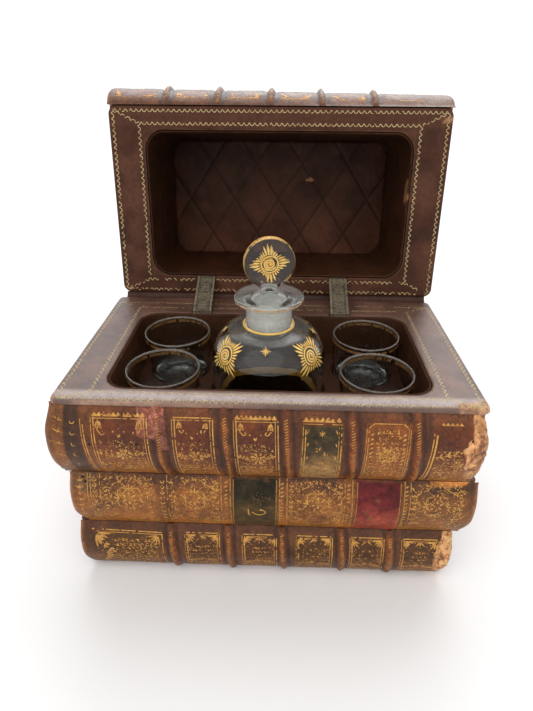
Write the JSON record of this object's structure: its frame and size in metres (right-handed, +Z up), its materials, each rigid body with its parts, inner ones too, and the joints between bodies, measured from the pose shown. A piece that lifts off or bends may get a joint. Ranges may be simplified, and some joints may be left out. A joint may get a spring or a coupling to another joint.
{
  "type": "tantalus",
  "caption": "Liquor box made as a stack of old leather books, its lid open on a round decanter with a disc stopper and short tumblers in a fitted leather tray",
  "frame": {"origin": "Middle of the flat underside of the lowest book's board, which is the face that the box stands on", "axes": "+X to the right along the books as seen from the spines, +Y from the spines to the hinge, +Z up"},
  "size_m": [0.215, 0.2184, 0.2404],
  "materials": {
    "case_leather": "worn red-brown calf, gilt tooled",
    "spine_leather": "worn warm brown calf, gilt tooled",
    "pale_spine_leather": "faded tan calf, gilt tooled",
    "dark_spine_leather": "dark brown calf, gilt tooled",
    "lining_leather": "smooth brown lining leather",
    "page_edges": "red-stained page edges",
    "clear_glass": "clear, gilt painted",
    "woven_silk": "woven ribbon with metal thread",
    "green_leather": "dark green label leather",
    "red_leather": "red label leather"
  },
  "bodies": {
    "case": {"lower_book_lower_board": "case_leather", "lower_book_pages": "page_edges", "lower_book_upper_board": "case_leather", "lower_book_spine": "dark_spine_leather", "middle_book_lower_board": "case_leather", "middle_book_pages": "page_edges", "middle_book_upper_board": "case_leather", "middle_book_spine": "pale_spine_leather", "middle_book_number_label": "green_leather", "middle_book_title_label": "red_leather", "upper_book_lower_board": "case_leather", "upper_book_pages": "page_edges", "upper_book_spine": "spine_leather", "upper_book_label": "green_leather", "case_rim_panel": "case_leather", "case_liner": "lining_leather", "fitted_tray": "lining_leather", "hinge_strip": "lining_leather", "stay_strap_left": "woven_silk", "stay_strap_right": "woven_silk"},
    "lid": {"lid_rim_panel": "case_leather", "lid_near_book_pages": "page_edges", "lid_near_book_board": "case_leather", "lid_near_book_spine": "spine_leather", "lid_top_book_lower_board": "case_leather", "lid_top_book_pages": "page_edges", "lid_top_book_upper_board": "case_leather", "lid_top_book_spine": "dark_spine_leather", "lid_liner": "lining_leather", "lid_ceiling_panel": "lining_leather"},
    "decanter": {"decanter": "clear_glass"},
    "stopper": {"stopper": "clear_glass"},
    "tumbler_front_left": {"tumbler_front_left": "clear_glass"},
    "tumbler_front_right": {"tumbler_front_right": "clear_glass"},
    "tumbler_rear_left": {"tumbler_rear_left": "clear_glass"},
    "tumbler_rear_right": {"tumbler_rear_right": "clear_glass"}
  },
  "joints": [
    {"name": "lid_hinge", "type": "hinge", "parent": "case", "child": "lid", "pos_m": [0, 0.0575, 0.1182], "axis": [-1, 0, 0], "range_deg": [-99.6, 0], "deforming": ["hinge_strip", "stay_strap_left", "stay_strap_right"]},
    {"name": "decanter_lift", "type": "slide", "parent": "case", "child": "decanter", "axis": [0, 0, 1], "range_m": [0, 0.092]},
    {"name": "stopper_lift", "type": "slide", "parent": "decanter", "child": "stopper", "axis": [0, 0, 1], "range_m": [0, 0.025]},
    {"name": "tumbler_front_left_lift", "type": "slide", "parent": "case", "child": "tumbler_front_left", "axis": [0, 0, 1], "range_m": [0, 0.045]},
    {"name": "tumbler_front_right_lift", "type": "slide", "parent": "case", "child": "tumbler_front_right", "axis": [0, 0, 1], "range_m": [0, 0.045]},
    {"name": "tumbler_rear_left_lift", "type": "slide", "parent": "case", "child": "tumbler_rear_left", "axis": [0, 0, 1], "range_m": [0, 0.045]},
    {"name": "tumbler_rear_right_lift", "type": "slide", "parent": "case", "child": "tumbler_rear_right", "axis": [0, 0, 1], "range_m": [0, 0.045]}
  ]
}
